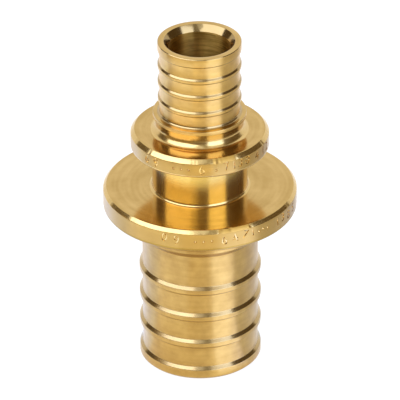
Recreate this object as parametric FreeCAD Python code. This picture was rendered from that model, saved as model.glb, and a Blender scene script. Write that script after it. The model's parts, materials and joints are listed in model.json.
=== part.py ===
import FreeCAD, Part
import math
import os

os.makedirs("parts", exist_ok=True)

# Reducing coupling for two sizes of plastic pipe, turned from one bar of brass.
# It stands on the open end of its large spigot: the origin is the centre of that
# end, and +Z runs along the axis to the small spigot. All sizes are in millimetres.

# Large spigot: gripping rings stand on a plain floor, and the pipe is pressed over them.
large_crown_d = 21.5
large_ring_rise = 0.55
large_ring_land = 0.85
large_ring_flank = 0.45
large_ring_gap = 3.65
large_ring_count = 3
large_end_land = 1.9
large_end_gap = 3.8
large_end_break = 0.45
large_neck_length = 6.05

# Stop collar of the large spigot, and the filleted groove between it and the flange.
large_collar_d = 23.1
large_collar_land = 0.75
large_collar_flank = 1.35
large_groove_d = 20.8
large_groove_width = 2.8
large_groove_fillet = 1.8

# Large flange, which a press tool pushes against.
large_flange_d = 34.0
large_flange_thickness = 4.15
large_flange_chamfer = 0.55
large_flange_round = 0.8

# Waist between the flanges, where the jaws of the press tool go in.
waist_d = 16.7
waist_length = 7.9
waist_fillet = 0.5

# Small flange.
small_flange_d = 24.2
small_flange_thickness = 3.35
small_flange_chamfer = 0.65
small_flange_round = 0.4

# Stop collar of the small spigot: a square ledge over a filleted groove.
small_collar_d = 16.3
small_collar_land = 0.85
small_groove_d = 14.0
small_groove_width = 2.6
small_groove_fillet = 1.8
small_ledge_fillet = 0.45

# Small spigot.
small_crown_d = 14.6
small_ring_rise = 0.3
small_ring_land = 0.55
small_ring_flank = 0.25
small_ring_gap = 2.15
small_ring_count = 3
small_end_land = 1.55
small_end_gap = 2.15
small_end_break = 0.1
small_neck_length = 2.3

# Bores: the large one ends in the cone of its drill, where the small one goes on.
large_bore_d = 17.0
large_bore_depth = 28.0
large_mouth_d = 18.6
large_mouth_depth = 1.1
small_bore_d = 10.8
small_mouth_d = 12.4
small_mouth_depth = 1.15
drill_point_angle = 118.0

# Radii that follow from the sizes above
large_crown_r = large_crown_d / 2
large_floor_r = large_crown_r - large_ring_rise
small_crown_r = small_crown_d / 2
small_floor_r = small_crown_r - small_ring_rise

# Heights along the axis, stacked up from the open end of the large spigot
large_ring_half = large_ring_land / 2 + large_ring_flank
large_ring_pitch = 2 * large_ring_half + large_ring_gap
large_first_ring = large_end_land + large_ring_flank + large_end_gap + large_ring_half
large_last_ring = large_first_ring + (large_ring_count - 1) * large_ring_pitch
large_collar_foot = large_last_ring + large_ring_half + large_neck_length
large_collar_low = large_collar_foot + large_collar_flank
large_collar_high = large_collar_low + large_collar_land
large_flange_low = large_collar_high + large_groove_width
large_flange_high = large_flange_low + large_flange_thickness
small_flange_low = large_flange_high + waist_length
small_flange_high = small_flange_low + small_flange_thickness
small_collar_low = small_flange_high + small_groove_width
small_collar_high = small_collar_low + small_collar_land
small_ring_half = small_ring_land / 2 + small_ring_flank
small_ring_pitch = 2 * small_ring_half + small_ring_gap
small_first_ring = small_collar_high + small_neck_length + small_ring_half
small_last_ring = small_first_ring + (small_ring_count - 1) * small_ring_pitch
small_end_foot = small_last_ring + small_ring_half + small_end_gap
small_end_low = small_end_foot + small_ring_flank
total_height = small_end_low + small_end_land


class HalfSection:
    """The cut face on one side of the axis, drawn point by point as (radius, height)."""

    def __init__(self, radius, height):
        self.start = (radius, height)
        self.last = self.start
        self.edges = []

    def place(self, point):
        return FreeCAD.Vector(point[0], 0, point[1])

    def line(self, radius, height):
        end = (radius, height)
        self.edges.append(Part.makeLine(self.place(self.last), self.place(end)))
        self.last = end

    def quarter(self, radius, height, centre):
        """A quarter circle from the last point to this one, round the given centre."""
        end = (radius, height)
        size = abs(radius - self.last[0])
        side_r = (self.last[0] + radius) / 2 - centre[0]
        side_z = (self.last[1] + height) / 2 - centre[1]
        reach = size / math.hypot(side_r, side_z)
        middle = (centre[0] + side_r * reach, centre[1] + side_z * reach)
        arc = Part.Arc(self.place(self.last), self.place(middle), self.place(end))
        self.edges.append(arc.toShape())
        self.last = end

    def turned(self):
        """Close the section and turn it once round the axis."""
        self.line(self.start[0], self.start[1])
        face = Part.Face(Part.Wire(self.edges))
        return face.revolve(FreeCAD.Vector(0, 0, 0), FreeCAD.Vector(0, 0, 1), 360)


def draw_rings(section, first, pitch, count, floor_r, rise, land, flank):
    """Gripping rings with flat crowns and sloping flanks, at even steps up the axis."""
    for number in range(count):
        middle = first + number * pitch
        section.line(floor_r, middle - land / 2 - flank)
        section.line(floor_r + rise, middle - land / 2)
        section.line(floor_r + rise, middle + land / 2)
        section.line(floor_r, middle + land / 2 + flank)


def draw_large_spigot(section):
    """Up from the open end: end land, rings, plain neck, stop collar and groove."""
    section.line(large_crown_r - large_end_break, 0)
    section.line(large_crown_r, large_end_break)
    section.line(large_crown_r, large_end_land)
    section.line(large_floor_r, large_end_land + large_ring_flank)
    draw_rings(section, large_first_ring, large_ring_pitch, large_ring_count,
               large_floor_r, large_ring_rise, large_ring_land, large_ring_flank)
    section.line(large_floor_r, large_collar_foot)
    section.line(large_collar_d / 2, large_collar_low)
    section.line(large_collar_d / 2, large_collar_high)
    section.line(large_groove_d / 2, large_collar_high)
    foot_r = large_groove_d / 2 + large_groove_fillet
    foot_low = large_flange_low - large_groove_fillet
    section.line(large_groove_d / 2, foot_low)
    section.quarter(foot_r, large_flange_low, (foot_r, foot_low))


def draw_flange(section, low, high, radius, lower_round, chamfer):
    """A flange with a rounded lower edge and a chamfered upper edge."""
    section.line(radius - lower_round, low)
    section.quarter(radius, low + lower_round, (radius - lower_round, low + lower_round))
    section.line(radius, high - chamfer)
    section.line(radius - chamfer, high)


def draw_waist(section):
    """The plain barrel between the flanges, with a fillet into each of them."""
    waist_r = waist_d / 2
    foot_r = waist_r + waist_fillet
    section.line(foot_r, large_flange_high)
    section.quarter(waist_r, large_flange_high + waist_fillet, (foot_r, large_flange_high + waist_fillet))
    section.line(waist_r, small_flange_low - waist_fillet)
    section.quarter(foot_r, small_flange_low, (foot_r, small_flange_low - waist_fillet))


def draw_small_spigot(section):
    """Up from the small flange: groove, stop collar, plain neck, rings and end land."""
    foot_r = small_groove_d / 2 + small_groove_fillet
    foot_high = small_flange_high + small_groove_fillet
    section.line(foot_r, small_flange_high)
    section.quarter(small_groove_d / 2, foot_high, (foot_r, foot_high))
    section.line(small_groove_d / 2, small_collar_low)
    section.line(small_collar_d / 2, small_collar_low)
    section.line(small_collar_d / 2, small_collar_high)
    ledge_r = small_floor_r + small_ledge_fillet
    ledge_top = small_collar_high + small_ledge_fillet
    section.line(ledge_r, small_collar_high)
    section.quarter(small_floor_r, ledge_top, (ledge_r, ledge_top))
    draw_rings(section, small_first_ring, small_ring_pitch, small_ring_count,
               small_floor_r, small_ring_rise, small_ring_land, small_ring_flank)
    section.line(small_floor_r, small_end_foot)
    section.line(small_crown_r, small_end_low)
    section.line(small_crown_r, total_height - small_end_break)
    section.line(small_crown_r - small_end_break, total_height)


def draw_bores(section):
    """Down through the body: small mouth, small bore, drill cone, large bore and mouth."""
    cone_height = (large_bore_d - small_bore_d) / 2 / math.tan(math.radians(drill_point_angle / 2))
    section.line(small_mouth_d / 2, total_height)
    section.line(small_bore_d / 2, total_height - small_mouth_depth)
    section.line(small_bore_d / 2, large_bore_depth + cone_height)
    section.line(large_bore_d / 2, large_bore_depth)
    section.line(large_bore_d / 2, large_mouth_depth)


def coupling_body():
    section = HalfSection(large_mouth_d / 2, 0)
    draw_large_spigot(section)
    draw_flange(section, large_flange_low, large_flange_high, large_flange_d / 2,
                large_flange_round, large_flange_chamfer)
    draw_waist(section)
    draw_flange(section, small_flange_low, small_flange_high, small_flange_d / 2,
                small_flange_round, small_flange_chamfer)
    draw_small_spigot(section)
    draw_bores(section)
    return section.turned()


coupling_body().exportStep("parts/coupling_body.step")
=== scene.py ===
import bpy
import bmesh
import json
import math
from mathutils import Matrix, Vector, noise


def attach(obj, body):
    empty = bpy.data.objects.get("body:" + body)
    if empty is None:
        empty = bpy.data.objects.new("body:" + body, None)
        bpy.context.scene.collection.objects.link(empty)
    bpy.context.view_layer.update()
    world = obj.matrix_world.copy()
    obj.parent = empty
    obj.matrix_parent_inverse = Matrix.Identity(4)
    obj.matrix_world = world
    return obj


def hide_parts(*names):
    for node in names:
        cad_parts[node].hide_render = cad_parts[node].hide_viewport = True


# Turned brass reducing coupling, standing on the open end of its large spigot.
# All lengths are in metres and all angles in degrees. Azimuth 0 is on the camera's
# side of the coupling, and azimuth 90 is to the camera's right.

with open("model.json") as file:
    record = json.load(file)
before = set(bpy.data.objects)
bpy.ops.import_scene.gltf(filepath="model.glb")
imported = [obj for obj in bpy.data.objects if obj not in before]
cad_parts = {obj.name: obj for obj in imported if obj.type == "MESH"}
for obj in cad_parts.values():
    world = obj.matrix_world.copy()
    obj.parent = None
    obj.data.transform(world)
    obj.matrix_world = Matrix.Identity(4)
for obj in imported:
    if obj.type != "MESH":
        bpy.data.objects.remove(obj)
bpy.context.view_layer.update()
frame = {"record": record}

mounts = {mount["name"]: mount for mount in frame["record"]["mounts"]}

# Large spigot
LARGE_CROWN_R = mounts["large_spigot"]["dims"]["r_mm"] / 1000
LARGE_RING_RISE = 0.00055
LARGE_RING_LAND = 0.00085
LARGE_RING_FLANK = 0.00045
LARGE_RING_GAP = 0.00365
LARGE_RING_COUNT = 3
LARGE_END_LAND = 0.0019
LARGE_END_GAP = 0.0038
LARGE_END_BREAK = 0.00045
LARGE_NECK_LENGTH = 0.00605
LARGE_COLLAR_R = 0.01155
LARGE_COLLAR_LAND = 0.00075
LARGE_COLLAR_FLANK = 0.00135
LARGE_GROOVE_R = 0.0104
LARGE_GROOVE_WIDTH = 0.0028
LARGE_GROOVE_FILLET = 0.0018
LARGE_FLOOR_R = LARGE_CROWN_R - LARGE_RING_RISE

# Large flange
LARGE_FLANGE_R = 0.017
LARGE_FLANGE_THICKNESS = 0.00415
LARGE_FLANGE_CHAMFER = 0.00055
LARGE_FLANGE_ROUND = 0.0008
LARGE_FACE_Z = mounts["large_flange_face"]["pos_m"][2]
LARGE_FACE_R = LARGE_FLANGE_R - LARGE_FLANGE_CHAMFER
LARGE_COLLAR_Z = LARGE_FACE_Z - LARGE_FLANGE_THICKNESS - LARGE_GROOVE_WIDTH

# Waist and small flange
WAIST_R = 0.00835
WAIST_FILLET = 0.0005
SMALL_FLANGE_R = 0.0121
SMALL_FLANGE_THICKNESS = 0.00335
SMALL_FLANGE_CHAMFER = 0.00065
SMALL_FLANGE_ROUND = 0.0004
SMALL_UNDERSIDE_Z = mounts["small_flange_face"]["pos_m"][2]
SMALL_FACE_Z = SMALL_UNDERSIDE_Z + SMALL_FLANGE_THICKNESS
SMALL_FACE_R = SMALL_FLANGE_R - SMALL_FLANGE_CHAMFER

# Small spigot
SMALL_CROWN_R = mounts["small_spigot"]["dims"]["r_mm"] / 1000
SMALL_COLLAR_R = 0.00815
SMALL_COLLAR_LAND = 0.00073
SMALL_GROOVE_R = 0.0073
SMALL_GROOVE_WIDTH = 0.00272
SMALL_GROOVE_FILLET = 0.00145
SMALL_LEDGE_FILLET = 0.00045
SMALL_COLLAR_Z = SMALL_FACE_Z + SMALL_GROOVE_WIDTH
SMALL_RING_RISE = 0.0003
SMALL_RING_LAND = 0.00055
SMALL_RING_FLANK = 0.00025
SMALL_RING_GAP = 0.00215
SMALL_RING_COUNT = 3
SMALL_END_LAND = 0.00155
SMALL_END_GAP = 0.00215
SMALL_END_BREAK = 0.0001
SMALL_NECK_LENGTH = 0.0023
SMALL_FLOOR_R = SMALL_CROWN_R - SMALL_RING_RISE

# Bores
LARGE_BORE_R = mounts["large_bore"]["dims"]["r_mm"] / 1000
LARGE_BORE_DEPTH = 0.028
LARGE_MOUTH_R = 0.0093
LARGE_MOUTH_DEPTH = 0.0011
SMALL_BORE_R = mounts["small_bore"]["dims"]["r_mm"] / 1000
SMALL_MOUTH_R = 0.0062
SMALL_MOUTH_DEPTH = 0.00115
DRILL_POINT_ANGLE = 118.0

# Corners are broken by these radii. The edge strips keep the rims and faces flat beside them.
SHARP = 0
CRISP_EDGE = 0.00004
SOFT_EDGE = 0.0001
MOST_OF_EDGE = 0.999
EDGE_STRIP = 0.0003
STEPS_ROUND = 360
MERGE_NEAR = 1e-7
FLAT_FACE_WEIGHT = 100

# Marks that the lathe leaves: a shallow run on the large face, a dished small face, a ringed bore
TOOL_RUN_R = 0.0098
TOOL_RUN_WIDTH = 0.0012
TOOL_RUN_DEPTH = 0.00002
SMALL_FACE_DISH = 0.00008
BORE_FEED = 0.0007
BORE_FEED_DEPTH = 0.00003
BORE_FEED_COUNT = 14

# Plain numbers and dots stamped into the rims. A row's middle lies this far below its flange's face.
STAMP_HEIGHT = 0.0017
STAMP_DEPTH = 0.00015
LARGE_STAMP_DROP = 0.0019
SMALL_STAMP_DROP = 0.0018
DOT_R = 0.00024
PUNCH_HALF_THICKNESS = 0.0004
TEXT_SIZE_PER_HEIGHT = 1.35
FIGURE_EDGE_ANGLE = 25

# The rows of stamps, as (mark, azimuth, lift above the middle, turn)
LARGE_STAMPS = [
    ("0", -21.5, 0.0002, -8), ("9", -14, 0, 5), (".", -2.8, -0.0001, 0), (".", 2.1, -0.0001, 0),
    (".", 6.9, 0, 0), ("6", 14.3, -0.0002, 12), ("4", 21, 0, 20), ("7", 27.5, 0.0003, -14),
    ("1", 32.5, 0.0003, 8), (".", 37, 0, 0), (".", 40, 0.0003, 0), (".", 43.5, 0.0001, 0),
    ("1", 52.5, 0, 12), ("3", 58, 0.0002, 6), ("8", 65, -0.0003, 0), ("5", 72, 0, 4),
]
SMALL_STAMPS = [
    ("6", -49, 0, -6), ("9", -39, 0, 6), (".", -22, 0, 0), (".", -15.6, 0, 0),
    (".", -9.2, 0, 0), ("6", 1.5, -0.0001, 10), (".", 13.5, -0.0002, 0), ("7", 22.5, 0.0002, 10),
    ("1", 29.5, 0.0001, 6), ("3", 35.5, 0.0002, 0), ("8", 43, 0.0002, -8), ("4", 55, 0, 4),
    ("1", 65, 0, 0), ("2", 73, 0, 0),
]

# Edges of the flanges, as (radius, height)
LARGE_RIM_EDGE = (LARGE_FLANGE_R, LARGE_FACE_Z - LARGE_FLANGE_CHAMFER)
LARGE_FACE_EDGE = (LARGE_FACE_R, LARGE_FACE_Z)
SMALL_RIM_EDGE = (SMALL_FLANGE_R, SMALL_FACE_Z - SMALL_FLANGE_CHAMFER)
SMALL_FACE_EDGE = (SMALL_FACE_R, SMALL_FACE_Z)

# Edges that were knocked, as (edge, from azimuth, to azimuth, reach)
KNOCKS = [
    (LARGE_RIM_EDGE, 9, 31, 0.00014),
    (LARGE_FACE_EDGE, 8, 29, 0.0001),
    (SMALL_RIM_EDGE, 2, 31, 0.00014),
    (SMALL_FACE_EDGE, 6, 28, 0.0001),
    (LARGE_RIM_EDGE, -180, 180, 0.00005),
    (SMALL_RIM_EDGE, -180, 180, 0.00004),
]

# A knock reaches this far along the section, and a row of them fades out over this many degrees.
# The dents come from noise: its steps, its offset between rows, and its (roughness, fineness, octaves).
KNOCK_NEAR_EDGE = 0.00006
KNOCK_FADE = 6
KNOCKS_PER_DEGREE = 0.45
KNOCK_ROW_OFFSET = 7.3
KNOCK_NOISE = (1.0, 2.0, 3)
KNOCK_INWARD = 0.6

# The upper chamfers are worn smooth between these azimuths
WORN_CHAMFER = (11, 31)

# How the finishes are told apart: by the slope of a face, and how near it lies to a wall
UPRIGHT = 0.08
LEVEL = 0.99
BORE_NEAR = 0.00002
DRILL_CONE_REACH = 0.002
RIM_NEAR = 0.0001

# Camera
CAMERA_ELEVATION = 29.76
CAMERA_DISTANCE = 0.85
CAMERA_AIM = Vector((0, 0, 0.03048))
CAMERA_LENS = 435.3
CAMERA_ROLL = -0.2
SENSOR_WIDTH = 36.0
CLIP_START = 0.01
CLIP_END = 100


def round_axis(point):
    """The radius and the azimuth of a point."""
    return math.hypot(point.x, point.y), math.degrees(math.atan2(point.x, -point.y))


def new_object(name, mesh_builder):
    """Put a finished bmesh into the scene as an object at the origin."""
    mesh = bpy.data.meshes.new(name)
    mesh_builder.to_mesh(mesh)
    mesh_builder.free()
    piece = bpy.data.objects.new(name, mesh)
    bpy.context.scene.collection.objects.link(piece)
    return piece


def finished_mesh(piece):
    """A new mesh of a piece, with its letters or modifiers worked out."""
    depsgraph = bpy.context.evaluated_depsgraph_get()
    return bpy.data.meshes.new_from_object(piece.evaluated_get(depsgraph))


class Outline:
    """The cut face of the body: its corners, and how each of them is rounded."""

    def __init__(self):
        self.height = 0.0
        self.corners = []
        self.roundings = []

    def to(self, radius, rise=0.0, rounding=CRISP_EDGE, steps=2):
        """The next corner, by its radius and its rise above the last one."""
        self.height += rise
        self.corners.append((radius, 0, self.height))
        self.roundings.append((rounding, steps))

    def ring(self, floor_r, rise, land, flank):
        """A gripping ring that starts at the present height."""
        self.to(floor_r, 0, SOFT_EDGE)
        self.to(floor_r + rise, flank, SOFT_EDGE)
        self.to(floor_r + rise, land, SOFT_EDGE)
        self.to(floor_r, flank, SOFT_EDGE)


def draw_large_spigot(line):
    line.to(LARGE_MOUTH_R)
    line.to(LARGE_CROWN_R - LARGE_END_BREAK)
    line.to(LARGE_CROWN_R, LARGE_END_BREAK)
    line.to(LARGE_CROWN_R, LARGE_END_LAND - LARGE_END_BREAK, SOFT_EDGE)
    line.to(LARGE_FLOOR_R, LARGE_RING_FLANK, SOFT_EDGE)
    line.height += LARGE_END_GAP
    for _ in range(LARGE_RING_COUNT):
        line.ring(LARGE_FLOOR_R, LARGE_RING_RISE, LARGE_RING_LAND, LARGE_RING_FLANK)
        line.height += LARGE_RING_GAP
    line.height += LARGE_NECK_LENGTH - LARGE_RING_GAP
    line.to(LARGE_FLOOR_R, 0, SOFT_EDGE)
    line.to(LARGE_COLLAR_R, LARGE_COLLAR_FLANK, SOFT_EDGE)
    line.to(LARGE_COLLAR_R, LARGE_COLLAR_LAND)
    line.to(LARGE_GROOVE_R)


def draw_large_flange(line):
    line.to(LARGE_GROOVE_R, LARGE_GROOVE_WIDTH, LARGE_GROOVE_FILLET, steps=8)
    line.to(LARGE_FLANGE_R, 0, LARGE_FLANGE_ROUND, steps=6)
    line.to(LARGE_FLANGE_R, LARGE_FLANGE_THICKNESS - LARGE_FLANGE_CHAMFER - EDGE_STRIP, SHARP)
    line.to(LARGE_FLANGE_R, EDGE_STRIP)
    line.to(LARGE_FACE_R, LARGE_FLANGE_CHAMFER)
    line.to(LARGE_FACE_R - EDGE_STRIP, 0, SHARP)
    line.to(TOOL_RUN_R + TOOL_RUN_WIDTH / 2, 0, SHARP)
    line.to(TOOL_RUN_R, -TOOL_RUN_DEPTH, SHARP)
    line.to(TOOL_RUN_R - TOOL_RUN_WIDTH / 2, TOOL_RUN_DEPTH, SHARP)


def draw_waist(line):
    line.to(WAIST_R, 0, WAIST_FILLET, steps=5)
    line.to(WAIST_R, SMALL_UNDERSIDE_Z - LARGE_FACE_Z, WAIST_FILLET, steps=5)


def draw_small_flange(line):
    line.to(SMALL_FLANGE_R, 0, SMALL_FLANGE_ROUND, steps=5)
    line.to(SMALL_FLANGE_R, SMALL_FLANGE_THICKNESS - SMALL_FLANGE_CHAMFER - EDGE_STRIP, SHARP)
    line.to(SMALL_FLANGE_R, EDGE_STRIP)
    line.to(SMALL_FACE_R, SMALL_FLANGE_CHAMFER)
    line.to(SMALL_FACE_R - EDGE_STRIP, 0, SHARP)
    line.to(SMALL_GROOVE_R + SMALL_GROOVE_FILLET + CRISP_EDGE, -SMALL_FACE_DISH, SHARP)


def draw_small_spigot(line):
    line.to(SMALL_GROOVE_R, 0, SMALL_GROOVE_FILLET, steps=12)
    line.to(SMALL_GROOVE_R, SMALL_GROOVE_WIDTH + SMALL_FACE_DISH)
    line.to(SMALL_COLLAR_R)
    line.to(SMALL_COLLAR_R, SMALL_COLLAR_LAND)
    line.to(SMALL_FLOOR_R, 0, SMALL_LEDGE_FILLET, steps=5)
    line.height += SMALL_NECK_LENGTH
    for _ in range(SMALL_RING_COUNT):
        line.ring(SMALL_FLOOR_R, SMALL_RING_RISE, SMALL_RING_LAND, SMALL_RING_FLANK)
        line.height += SMALL_RING_GAP
    line.height += SMALL_END_GAP - SMALL_RING_GAP
    line.to(SMALL_FLOOR_R, 0, SOFT_EDGE)
    line.to(SMALL_CROWN_R, SMALL_RING_FLANK, SOFT_EDGE)
    line.to(SMALL_CROWN_R, SMALL_END_LAND - SMALL_END_BREAK)
    line.to(SMALL_CROWN_R - SMALL_END_BREAK, SMALL_END_BREAK)


def draw_bores(line):
    line.to(SMALL_MOUTH_R)
    line.to(SMALL_BORE_R, -SMALL_MOUTH_DEPTH)
    for _ in range(BORE_FEED_COUNT):
        line.to(SMALL_BORE_R - BORE_FEED_DEPTH, -BORE_FEED / 2, SHARP)
        line.to(SMALL_BORE_R, -BORE_FEED / 2, SHARP)
    cone = (LARGE_BORE_R - SMALL_BORE_R) / math.tan(math.radians(DRILL_POINT_ANGLE / 2))
    line.height = LARGE_BORE_DEPTH + cone
    line.to(SMALL_BORE_R)
    line.to(LARGE_BORE_R, -cone)
    line.height = LARGE_MOUTH_DEPTH
    line.to(LARGE_BORE_R)


def round_corner(bm, corner, rounding, steps):
    """Round one corner of the outline, by no more than its shorter edge allows."""
    one, two = [edge.other_vert(corner).co - corner.co for edge in corner.link_edges]
    turn = math.pi - one.angle(two)
    reach = min(rounding * math.tan(turn / 2), MOST_OF_EDGE * min(one.length, two.length))
    bmesh.ops.bevel(bm, geom=[corner], offset=reach, offset_type="OFFSET", affect="VERTICES",
                    segments=steps, profile=0.5, material=-1)


def turn_body():
    """Draw the outline, round its corners and turn it once round the axis."""
    line = Outline()
    draw_large_spigot(line)
    draw_large_flange(line)
    draw_waist(line)
    draw_small_flange(line)
    draw_small_spigot(line)
    draw_bores(line)
    bm = bmesh.new()
    corners = [bm.verts.new(place) for place in line.corners]
    for first, second in zip(corners, corners[1:] + corners[:1]):
        bm.edges.new((first, second))
    for corner, (rounding, steps) in zip(corners, line.roundings):
        if rounding != SHARP:
            round_corner(bm, corner, rounding, steps)
    bmesh.ops.spin(bm, geom=bm.verts[:] + bm.edges[:], cent=(0, 0, 0), axis=(0, 0, 1),
                   dvec=(0, 0, 0), angle=math.radians(360), steps=STEPS_ROUND, use_merge=True)
    bmesh.ops.remove_doubles(bm, verts=bm.verts[:], dist=MERGE_NEAR)
    bmesh.ops.recalc_face_normals(bm, faces=bm.faces[:])
    for face in bm.faces:
        face.smooth = True
        face.material_index = finish_of(face)
    knock_edges(bm)
    return new_object("turned_body", bm)


def knock_edges(bm):
    """Small dents and burrs along the edges of the flanges."""
    for vert in bm.verts:
        radius, azimuth = round_axis(vert.co)
        for row, ((edge_r, edge_z), start, end, reach) in enumerate(KNOCKS):
            gap = max(abs(radius - edge_r), abs(vert.co.z - edge_z))
            if gap > KNOCK_NEAR_EDGE or not start < azimuth < end:
                continue
            fade = min(1, (azimuth - start) / KNOCK_FADE, (end - azimuth) / KNOCK_FADE)
            place = Vector((azimuth * KNOCKS_PER_DEGREE, row * KNOCK_ROW_OFFSET, 0))
            dent = noise.fractal(place, *KNOCK_NOISE)
            inward = reach * fade * abs(dent) * KNOCK_INWARD
            vert.co.x *= 1 - inward / radius
            vert.co.y *= 1 - inward / radius
            vert.co.z += reach * fade * dent
            break


def stamp_mesh(mark):
    """One figure as a flat solid or one dot as a ball, centred on the origin and facing up."""
    if mark == ".":
        ball = bmesh.new()
        bmesh.ops.create_uvsphere(ball, u_segments=12, v_segments=8, radius=DOT_R)
        return ball
    letters = bpy.data.curves.new("figure", "FONT")
    letters.body = mark
    letters.size = STAMP_HEIGHT * TEXT_SIZE_PER_HEIGHT
    letters.align_x = "CENTER"
    letters.align_y = "CENTER"
    letters.extrude = PUNCH_HALF_THICKNESS
    letters.resolution_u = 3
    holder = bpy.data.objects.new("figure", letters)
    bpy.context.scene.collection.objects.link(holder)
    shaped = finished_mesh(holder)
    figure = bmesh.new()
    figure.from_mesh(shaped)
    bpy.data.objects.remove(holder)
    bpy.data.curves.remove(letters)
    bpy.data.meshes.remove(shaped)
    bmesh.ops.remove_doubles(figure, verts=figure.verts[:], dist=MERGE_NEAR)
    bmesh.ops.recalc_face_normals(figure, faces=figure.faces[:])
    bmesh.ops.translate(figure, verts=figure.verts[:], vec=(0, 0, PUNCH_HALF_THICKNESS - STAMP_DEPTH))
    return figure


def bend_round_rim(figure, rim_r, azimuth, middle):
    """Bend a flat figure round a rim: its width goes round, and its face looks outwards."""
    for vert in figure.verts:
        across, up, out = vert.co
        angle = math.radians(azimuth) + across / rim_r
        radius = rim_r + out
        vert.co = (radius * math.sin(angle), -radius * math.cos(angle), middle + up)


def stamp_rims(body):
    """Press the figures and dots into both rims."""
    punches = bmesh.new()
    rows = [(LARGE_FLANGE_R, LARGE_FACE_Z - LARGE_STAMP_DROP, LARGE_STAMPS),
            (SMALL_FLANGE_R, SMALL_FACE_Z - SMALL_STAMP_DROP, SMALL_STAMPS)]
    for rim_r, middle, stamps in rows:
        for mark, azimuth, lift, turn in stamps:
            figure = stamp_mesh(mark)
            tilt = Matrix.Rotation(math.radians(turn), 3, "Z")
            bmesh.ops.rotate(figure, verts=figure.verts[:], matrix=tilt)
            bend_round_rim(figure, rim_r, azimuth, middle + lift)
            bent = bpy.data.meshes.new("bent figure")
            figure.to_mesh(bent)
            figure.free()
            punches.from_mesh(bent)
            bpy.data.meshes.remove(bent)
    punch = new_object("punches", punches)
    cut = body.modifiers.new("stamps", "BOOLEAN")
    cut.operation = "DIFFERENCE"
    cut.solver = "EXACT"
    cut.object = punch
    stamped = finished_mesh(body)
    body.modifiers.remove(cut)
    body.data = stamped
    bpy.data.objects.remove(punch)


def crisp_figures(body):
    """Keep the edges of the stamps crisp where they meet the rim."""
    bm = bmesh.new()
    bm.from_mesh(body.data)
    for edge in bm.edges:
        finishes = {face.material_index for face in edge.link_faces}
        steep = edge.calc_face_angle(0) > math.radians(FIGURE_EDGE_ANGLE)
        if RIM in finishes and CUT in finishes and steep:
            edge.smooth = False
    bm.to_mesh(body.data)
    bm.free()


# Finishes, in the order of the body's material slots
CUT, TURNED, FACED, WAIST, RIM, BORED_SHADED, MOUTH, FLANK, UNDER, SLIM_PAINTED_LIT = range(10)


def finish_of(face):
    """Which finish a face gets, by its place and its slope. Most follow the tool that left the face; the
    bore, mouth, flank and underside finishes are darker copies that paint shade, and the slim one is a
    paler copy that paints light.
    """
    centre = face.calc_center_median()
    radius, azimuth = round_axis(centre)
    height = centre.z
    slope = face.normal.z
    if radius < SMALL_BORE_R + BORE_NEAR:
        return BORED_SHADED
    if radius < LARGE_BORE_R + BORE_NEAR and height < LARGE_BORE_DEPTH + DRILL_CONE_REACH:
        return BORED_SHADED
    if radius < SMALL_MOUTH_R and abs(slope) >= UPRIGHT:
        return MOUTH
    if abs(slope) > LEVEL and radius < LARGE_FLANGE_R:
        return FACED
    if slope < -UPRIGHT and not LARGE_FACE_Z <= height <= SMALL_FACE_Z:
        # Faces that look down take a darker copy of the brass: painted shade
        return UNDER
    if abs(slope) >= UPRIGHT:
        if radius > SMALL_FACE_R and WORN_CHAMFER[0] < azimuth < WORN_CHAMFER[1]:
            return RIM
        # Sloping faces of the spigots take a darker copy of cut brass: painted shade
        if radius < LARGE_COLLAR_R and not LARGE_COLLAR_Z < height < SMALL_COLLAR_Z:
            return FLANK
        return CUT
    if radius > SMALL_FLANGE_R - RIM_NEAR:
        return RIM
    if LARGE_FACE_Z < height < SMALL_UNDERSIDE_Z:
        return WAIST
    if radius < SMALL_COLLAR_R - RIM_NEAR and LARGE_FACE_Z < height < SMALL_COLLAR_Z:
        return CUT
    # The small spigot takes a paler copy of turned brass: painted light
    return SLIM_PAINTED_LIT if height > SMALL_COLLAR_Z else TURNED


class Recipe:
    """The nodes of one material, wired by short calls."""

    def __init__(self, name):
        self.material = bpy.data.materials.new(name)
        self.material.use_nodes = True
        self.tree = self.material.node_tree

    def feed(self, socket, value):
        """Give a socket a value of its own, or a link."""
        if isinstance(value, bpy.types.NodeSocket):
            self.tree.links.new(value, socket)
        else:
            socket.default_value = value

    def fill(self, node, inputs):
        for key, value in inputs.items():
            self.feed(node.inputs[key.replace("_", " ")], value)

    def shade(self, **inputs):
        """Sockets of the shader itself."""
        self.fill(self.tree.nodes["Principled BSDF"], inputs)

    def add(self, kind, settings=None, **inputs):
        node = self.tree.nodes.new("ShaderNode" + kind)
        for key, value in (settings or {}).items():
            setattr(node, key, value)
        self.fill(node, inputs)
        return node

    def compute(self, kind, operation, values, result):
        node = self.add(kind, {"operation": operation})
        for socket, value in zip(node.inputs, values):
            self.feed(socket, value)
        return node.outputs[result]

    def math(self, operation, *values):
        return self.compute("Math", operation, values, "Value")

    def vector(self, operation, *values, result="Vector"):
        return self.compute("VectorMath", operation, values, result)

    def mean(self, first, second):
        return self.math("ADD", self.math("MULTIPLY", first, 0.5), self.math("MULTIPLY", second, 0.5))

    def ease(self, value, reach, low, high):
        """Map a value from its own reach to what lies between low and high."""
        node = self.add("MapRange", None, Value=value, From_Min=reach[0], From_Max=reach[1],
                        To_Min=low, To_Max=high)
        return node.outputs["Result"]

    def blend(self, amount, first, second):
        node = self.add("Mix", {"data_type": "RGBA"}, Factor=amount, A=first, B=second)
        return node.outputs["Result"]


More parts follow.
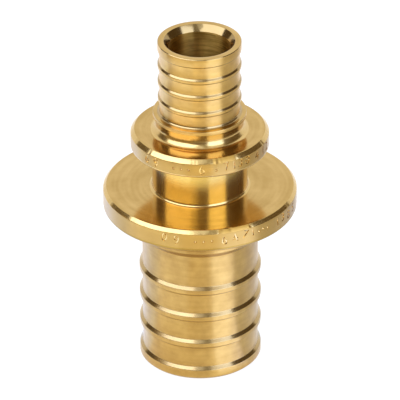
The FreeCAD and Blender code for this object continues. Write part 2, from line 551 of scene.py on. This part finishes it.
def lathe_noise(recipe, pitch, around, detail=2.0, offset=0.0):
    """Noise in rings round the axis: it changes every pitch along the cut, and slowly round it."""
    place = recipe.add("TexCoord").outputs["Object"]
    flat = recipe.vector("MULTIPLY", place, (1, 1, 0))
    radius = recipe.vector("LENGTH", flat, result="Value")
    spoke = recipe.vector("NORMALIZE", flat)
    height = recipe.vector("MULTIPLY", place, (0, 0, 1 / pitch))
    ringed = recipe.vector("MULTIPLY_ADD", spoke, (around, around, 0), height)
    step = recipe.math("MULTIPLY_ADD", radius, 1 / pitch, offset)
    grain = recipe.add("TexNoise", {"noise_dimensions": "4D"}, Vector=ringed, W=step, Scale=1.0,
                       Detail=detail, Roughness=0.5)
    return grain.outputs["Fac"]


def cloud(recipe, size):
    """Plain noise with patches of about this size."""
    place = recipe.add("TexCoord").outputs["Object"]
    patches = recipe.add("TexNoise", None, Vector=place, Scale=1 / size, Detail=3.0, Roughness=0.6)
    return patches.outputs["Fac"]


# What lies on the brass: oil from the machine, a haze of fine scratches, or nothing
OIL = {"weight": 0.9, "roughness": 0.3, "ior": 1.35}
THIN_OIL = {"weight": 0.5, "roughness": 0.1, "ior": 1.5}
HAZE = {"weight": 1.0, "roughness": 0.3, "ior": 1.7}
DRY = {"weight": 0.0, "roughness": 0.3, "ior": 1.5}

# Streaks run round the axis. Bands of colour are this many feeds wide, and noise has this reach.
STREAKS_ROUND_AXIS = 0.25
BAND_FEEDS = 6
TONE_REACH = (0.35, 0.65)
WEAR_REACH = (0.3, 0.7)

# The recipes, in the order of the body's material slots. Feed is the pitch of the tool marks, depth
# is how deep they go, and patch is the size of the clouds in the colour, where it isn't the usual one.
FINISHES = [
    # Chamfers, fillets, the groove of the small spigot and the walls of the stamps
    dict(name="cut brass", pale=(0.74, 0.51, 0.18, 1), deep=(0.68, 0.45, 0.145, 1),
         roughness=0.2, anisotropy=0.3, feed=0.00015, depth=0.0000004, film=THIN_OIL),
    # The large spigot and its collar
    dict(name="turned brass", pale=(0.64, 0.38, 0.083, 1), deep=(0.55, 0.31, 0.057, 1),
         roughness=0.38, anisotropy=0.9, feed=0.00012, depth=0.000001, film=OIL, patch=0.0016),
    # The flat faces of the flanges, the collars and the ends
    dict(name="faced brass", pale=(0.68, 0.455, 0.162, 1), deep=(0.54, 0.345, 0.1, 1),
         roughness=0.15, anisotropy=0.4, feed=0.00014, depth=0.0000004, film=DRY),
    # The barrel between the flanges
    dict(name="waist brass", pale=(0.72, 0.47, 0.072, 1), deep=(0.66, 0.42, 0.06, 1),
         roughness=0.21, anisotropy=0.4, feed=0.00014, depth=0.0000004, film=HAZE),
    # The rims of the flanges, and their chamfers where they are worn
    dict(name="rim brass", pale=(0.56, 0.325, 0.062, 1), deep=(0.51, 0.29, 0.05, 1),
         roughness=0.33, anisotropy=0.7, feed=0.0002, depth=0.000002, film=OIL),
    # The walls of both bores. Their deep colour is much darker, so the walls darken in random bands:
    # painted shade inside the bores
    dict(name="bored brass", pale=(0.64, 0.38, 0.085, 1), deep=(0.26, 0.14, 0.02, 1),
         roughness=0.4, anisotropy=0.95, feed=0.00005, depth=0.000002, film=DRY, rough_spread=0.35),
    # The funnel at the mouth of the small bore, darker than cut brass: painted shade that dims its
    # highlight
    dict(name="mouth brass", pale=(0.42, 0.29, 0.115, 1), deep=(0.38, 0.255, 0.1, 1),
         roughness=0.16, anisotropy=0.4, feed=0.0002, depth=0.000001, film=DRY),
    # The flanks of the rings that look up: a darker copy of cut brass, painted shade that dims their
    # highlights
    dict(name="flank brass", pale=(0.52, 0.355, 0.135, 1), deep=(0.45, 0.3, 0.11, 1),
         roughness=0.2, anisotropy=0.4, feed=0.00015, depth=0.000001, film=THIN_OIL),
    # The flanks and fillets that look down, darker than the rest: painted shade
    dict(name="underside brass", pale=(0.46, 0.27, 0.05, 1), deep=(0.4, 0.23, 0.04, 1),
         roughness=0.3, anisotropy=0.4, feed=0.00015, depth=0.000001, film=DRY),
    # The small spigot and its collar: a paler copy of turned brass, painted light for the brighter floor
    # it shows
    dict(name="slim brass", pale=(0.8, 0.49, 0.115, 1), deep=(0.7, 0.41, 0.085, 1),
         roughness=0.36, anisotropy=0.9, feed=0.00012, depth=0.000001, film=OIL, patch=0.0016),
]


def brass(name, pale, deep, roughness, anisotropy, feed, depth, film, rough_spread=0.25, patch=0.004):
    """Brass with tool marks round the axis, clouded in colour and gloss, under its film."""
    recipe = Recipe(name)
    recipe.shade(Metallic=1, Anisotropic=anisotropy, Anisotropic_Rotation=STREAKS_ROUND_AXIS,
                 Coat_Weight=film["weight"], Coat_Roughness=film["roughness"], Coat_IOR=film["ior"])
    tangent = recipe.add("Tangent", {"direction_type": "RADIAL", "axis": "Z"})
    marks = lathe_noise(recipe, feed, around=3.0)
    bands = lathe_noise(recipe, feed * BAND_FEEDS, around=1.5, detail=1.0, offset=7.0)
    patches = cloud(recipe, patch)
    tone = recipe.ease(recipe.mean(bands, patches), TONE_REACH, 0.0, 1.0)
    worn = recipe.ease(recipe.mean(marks, patches), WEAR_REACH,
                       roughness * (1 - rough_spread), roughness * (1 + rough_spread))
    bump = recipe.add("Bump", None, Strength=1.0, Distance=depth, Height=marks)
    recipe.shade(Tangent=tangent.outputs["Tangent"], Base_Color=recipe.blend(tone, pale, deep),
                 Roughness=worn, Normal=bump.outputs["Normal"])
    return recipe.material


def toward(azimuth, elevation, distance):
    """A point seen from the middle of the coupling, by azimuth and elevation."""
    a = math.radians(azimuth)
    e = math.radians(elevation)
    way = Vector((math.sin(a) * math.cos(e), -math.cos(a) * math.cos(e), math.sin(e)))
    return CAMERA_AIM + distance * way


def camera():
    lens = bpy.data.cameras.new("camera")
    lens.lens = CAMERA_LENS
    lens.sensor_width = SENSOR_WIDTH
    lens.clip_start = CLIP_START
    lens.clip_end = CLIP_END
    holder = bpy.data.objects.new("camera", lens)
    holder.location = toward(0, CAMERA_ELEVATION, CAMERA_DISTANCE)
    tilt = Matrix.Rotation(math.radians(90 - CAMERA_ELEVATION), 3, "X")
    roll = Matrix.Rotation(math.radians(CAMERA_ROLL), 3, "Z")
    holder.rotation_euler = (tilt @ roll).to_euler()
    bpy.context.scene.collection.objects.link(holder)
    bpy.context.scene.camera = holder


def seen_directly(recipe):
    """1 for what the camera sees straight or in metal or glass, 0 for light that falls on things."""
    path = recipe.add("LightPath")
    seen = recipe.math("MAXIMUM", path.outputs["Is Camera Ray"], path.outputs["Is Glossy Ray"])
    return recipe.math("MAXIMUM", seen, path.outputs["Is Transmission Ray"])


# Floor: it lies just under the coupling, takes its shadow, and looks white
FLOOR_HALF_SIZE = 30
FLOOR_Z = -0.00005
FLOOR_GREY = 0.2
FLOOR_GLOW = 0.85


def floor():
    bm = bmesh.new()
    bmesh.ops.create_grid(bm, x_segments=1, y_segments=1, size=FLOOR_HALF_SIZE)
    plane = new_object("floor", bm)
    plane.data.transform(Matrix.Translation((0, 0, FLOOR_Z)))
    recipe = Recipe("pale floor")
    glow = recipe.math("MULTIPLY", seen_directly(recipe), FLOOR_GLOW)
    recipe.shade(Base_Color=(FLOOR_GREY, FLOOR_GREY, FLOOR_GREY, 1), Roughness=1, Specular_IOR_Level=0,
                 Emission_Color=(1, 1, 1, 1), Emission_Strength=glow)
    plane.data.materials.append(recipe.material)


def white_room():
    world = bpy.data.worlds.new("white room")
    world.use_nodes = True
    background = world.node_tree.nodes["Background"]
    background.inputs["Color"].default_value = (1, 1, 1, 1)
    background.inputs["Strength"].default_value = 1
    bpy.context.scene.world = world


# Lamps, as (name, azimuth, elevation, width, height, distance, light). Here and on the cards, light 1
# is as bright as lit white paper.
SOFTBOXES = [
    ("softbox right", 42, 23.5, 47, 53, 0.9, (1.25, 1.65, 2.9)),
    ("softbox left", -45, 43, 92, 50, 0.9, (1.6, 1.85, 2.7)),
]


def softbox(name, azimuth, elevation, width, height, distance, light):
    """A rectangular lamp that faces the coupling."""
    wide = 2 * distance * math.tan(math.radians(width / 2))
    tall = 2 * distance * math.tan(math.radians(height / 2))
    lamp = bpy.data.lights.new(name, "AREA")
    lamp.shape = "RECTANGLE"
    lamp.size = wide
    lamp.size_y = tall
    lamp.energy = max(light) * math.pi * wide * tall
    lamp.color = [value / max(light) for value in light]
    holder = bpy.data.objects.new(name, lamp)
    place = toward(azimuth, elevation, distance)
    holder.location = place
    holder.rotation_euler = (place - CAMERA_AIM).to_track_quat("Z", "Y").to_euler()
    bpy.context.scene.collection.objects.link(holder)


# Corners of the cards that stand round the coupling, as (azimuth, elevation)
LEFT_BOX_EDGE = [(-24, 1), (-24, 30), (-5, 36), (-1, 41), (-9, 46), (-16, 49), (-13, 60),
                 (-16, 70), (-10, 79)]
DARK_EDGE = [(-10, 1), (-8, 30), (4, 46), (12, 58), (17, 70), (29, 79)]
RIGHT_BOX_EDGE = [(20, 1), (21, 30), (25, 49), (28, 58), (35, 68), (52, 76)]
CARD_AT_RIGHT = [(59, 1), (62, 23), (69, 40), (74, 48), (83, 54), (95, 60), (112, 62),
                 (138, 34), (132, 30), (128, 26), (124, 21), (121, 15), (119, 1)]
CARD_AT_LEFT = [(-83, 1), (-85, 16), (-91, 31), (-96, 37), (-102, 43), (-111, 48), (-122, 51),
                (-138, 34), (-132, 30), (-128, 26), (-124, 21), (-121, 15), (-119, 1)]
LOW_CARD = [(-95, -14), (-56, -14), (-17, -14), (-17, 26), (-56, 26), (-95, 26)]
FRONT_GAP = [(-60, -12), (-20, -12), (19, -12), (20, 26), (-12, 27), (-22, 26), (-32, 22),
             (-44, 16), (-60, 14)]

# These cards glow and only the brass sees them: they paint the dark and bright parts of a studio into
# its reflections
# Cards that stand round the coupling, as (name, corners, distance, light)
BROWN = (0.15, 0.11, 0.06)
STANDING_CARDS = [
    ("dark card by the camera", DARK_EDGE + RIGHT_BOX_EDGE[::-1], 0.5, (0.38, 0.35, 0.27)),
    ("pale card by the camera", LEFT_BOX_EDGE + DARK_EDGE[::-1], 0.5, (0.95, 1.0, 1.1)),
    ("brown card at the right", CARD_AT_RIGHT, 0.5, BROWN),
    ("brown card at the left", CARD_AT_LEFT, 0.5, BROWN),
    ("low card at the left", LOW_CARD, 0.11, (0.35, 0.25, 0.1)),
    ("dark gap in front", FRONT_GAP, 0.45, (0.2, 0.15, 0.08)),
]

# These cards glow and only the brass sees them: painted light and shade of the floor in its reflections,
# and the window rows paint the right-hand light's reflection in the floor
# Cards that lie on the floor, as (name, from azimuth, to azimuth, from radius, to radius, light)
FLOOR_CARD_LIFT = 0.0001
FLOOR_CARD_STEPS = 8
FOOT_R = 0.0125
NEAR_R = 0.086
FAR_R = 0.15
LAST_R = 0.4
FLOOR_CARDS = [
    ("white card on the floor at the left", -135, -82, FOOT_R, LAST_R, (1.15, 1.35, 1.8)),
    ("near floor at the front left", -82, -22, 0.03, NEAR_R, (1.4, 1.6, 2.1)),
    ("far floor at the front left", -82, -22, NEAR_R, FAR_R, (2.2, 2.35, 2.7)),
    ("dull floor at the front left", -82, -22, FAR_R, LAST_R, (0.5, 0.42, 0.25)),
    ("near floor in front", -22, 21, 0.07, NEAR_R, (1.0, 1.05, 1.05)),
    ("far floor in front", -22, 21, NEAR_R, FAR_R, (2.05, 2.0, 1.8)),
    ("dull floor in front", -22, 21, FAR_R, LAST_R, (0.5, 0.45, 0.35)),
    ("near window in the floor", 21, 62, FOOT_R, NEAR_R, (1.75, 2.05, 3.4)),
    ("middle window in the floor", 21, 62, NEAR_R, FAR_R, (0.95, 1.1, 1.8)),
    ("far window in the floor", 21, 62, FAR_R, LAST_R, (1.1, 1.1, 1.3)),
    ("pale floor at the right", 62, 140, FOOT_R, 0.062, (0.95, 1.05, 1.2)),
    ("grey floor at the right", 62, 140, 0.062, LAST_R, (0.65, 0.66, 0.65)),
]


def card(name, corners, light):
    """A glowing card that only the brass sees, in the colour of its light: a painted patch of light or
    shade in the brass's reflections.
    """
    bm = bmesh.new()
    bm.faces.new([bm.verts.new(corner) for corner in corners])
    piece = new_object(name, bm)
    recipe = Recipe(name)
    recipe.shade(Base_Color=(0, 0, 0, 1), Specular_IOR_Level=0, Emission_Strength=max(light),
                 Emission_Color=[value / max(light) for value in light] + [1])
    piece.data.materials.append(recipe.material)
    piece.visible_camera = False
    piece.visible_diffuse = False
    piece.visible_shadow = False


def floor_sector(start, end, near, far):
    """The corners of a card that lies on the floor, from one azimuth and radius to another."""
    steps = range(FLOOR_CARD_STEPS + 1)
    turns = [math.radians(start + (end - start) * step / FLOOR_CARD_STEPS) for step in steps]
    spokes = [Vector((math.sin(turn), -math.cos(turn), 0)) for turn in turns]
    lift = Vector((0, 0, FLOOR_CARD_LIFT))
    return [spoke * near + lift for spoke in spokes] + [spoke * far + lift for spoke in reversed(spokes)]


body = turn_body()
stamp_rims(body)
crisp_figures(body)
for finish in FINISHES:
    body.data.materials.append(brass(**finish))
even = body.modifiers.new("flat faces stay flat", "WEIGHTED_NORMAL")
even.weight = FLAT_FACE_WEIGHT
even.keep_sharp = True
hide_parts("coupling_body")
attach(body, "root")

camera()
floor()
white_room()
for lamp in SOFTBOXES:
    softbox(*lamp)
for name, corners, distance, light in STANDING_CARDS:
    card(name, [toward(azimuth, elevation, distance) for azimuth, elevation in corners], light)
for name, start, end, near, far, light in FLOOR_CARDS:
    card(name, floor_sector(start, end, near, far), light)

view = bpy.context.scene.view_settings
view.view_transform = "Standard"
